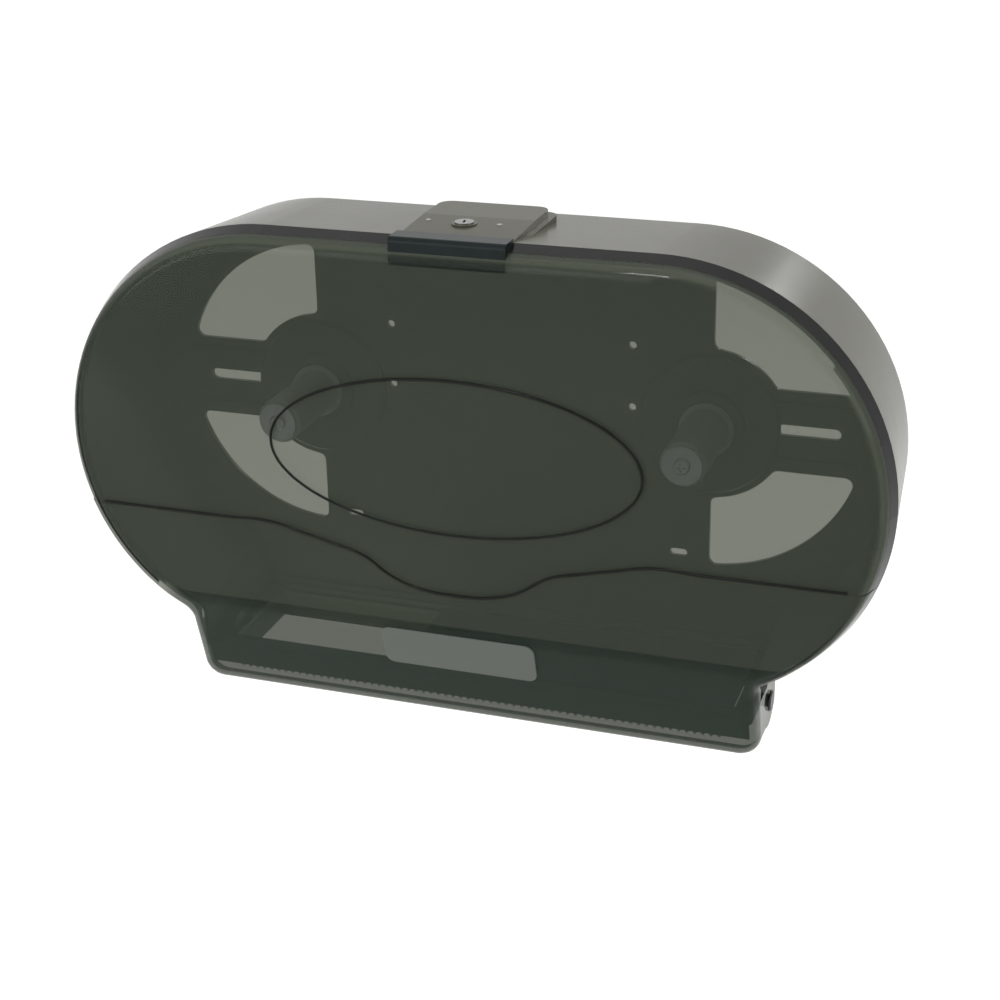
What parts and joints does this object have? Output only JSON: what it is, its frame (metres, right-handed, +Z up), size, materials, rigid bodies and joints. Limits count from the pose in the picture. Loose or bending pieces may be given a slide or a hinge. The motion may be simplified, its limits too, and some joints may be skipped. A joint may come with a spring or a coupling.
{
  "type": "jumbo toilet roll dispenser",
  "caption": "Wall-mounted twin jumbo roll dispenser: grey back housing, hinged see-through smoke cover, key lock on top, turning roll hubs and a sliding outlet door.",
  "frame": {"origin": "centre of the wall face, at the level where the rounded ends are widest", "axes": "X to the right seen from the front, Y into the wall, Z up"},
  "size_m": [0.51, 0.1133, 0.3093],
  "materials": {
    "housing": "fine moulded texture",
    "smoke": "polished see-through smoke",
    "dark_plastic": "satin",
    "label": "satin",
    "mark": "pale inlaid pips",
    "pin": "blackened",
    "steel": "zinc plated",
    "chrome": "polished",
    "hub": "satin",
    "door": "satin",
    "felt": "felt",
    "rubber": "matt"
  },
  "bodies": {
    "housing": {"back_housing": "housing", "side_wall": "housing", "outlet_floor": "housing", "lock_housing": "housing", "lock_marks": "mark", "lock_screws": "steel", "hinge_pins": "pin", "brake_washers": "felt", "hub_washers": "steel", "hub_screws": "steel", "door_bumpers": "rubber", "tear_bar": "steel", "tear_screws": "steel"},
    "cover": {"front_cover": "smoke", "cover_catch": "dark_plastic", "label_plate": "label"},
    "lock": {"lock_barrel": "chrome", "lock_cam": "steel", "cam_screw": "steel"},
    "left_hub": {"roll_hub_left": "hub"},
    "right_hub": {"roll_hub_right": "hub"},
    "door": {"sliding_door": "door", "door_grip": "door"}
  },
  "joints": [
    {"name": "cover_hinge", "type": "hinge", "parent": "housing", "child": "cover", "pos_m": [0, -0.066, -0.143], "axis": [1, 0, 0], "range_deg": [0, 90]},
    {"name": "lock_turn", "type": "hinge", "parent": "housing", "child": "lock", "pos_m": [-0.004, -0.068, 0.13], "axis": [0, 0, 1], "range_deg": [0, 80]},
    {"name": "door_slide", "type": "slide", "parent": "housing", "child": "door", "axis": [-1, 0, 0], "range_m": [0, 0.1172]},
    {"name": "left_hub_turn", "type": "hinge", "parent": "housing", "child": "left_hub", "pos_m": [-0.128, -0.042, 0.006], "axis": [0, -1, 0], "continuous": true},
    {"name": "right_hub_turn", "type": "hinge", "parent": "housing", "child": "right_hub", "pos_m": [0.128, -0.042, 0.006], "axis": [0, -1, 0], "continuous": true}
  ]
}
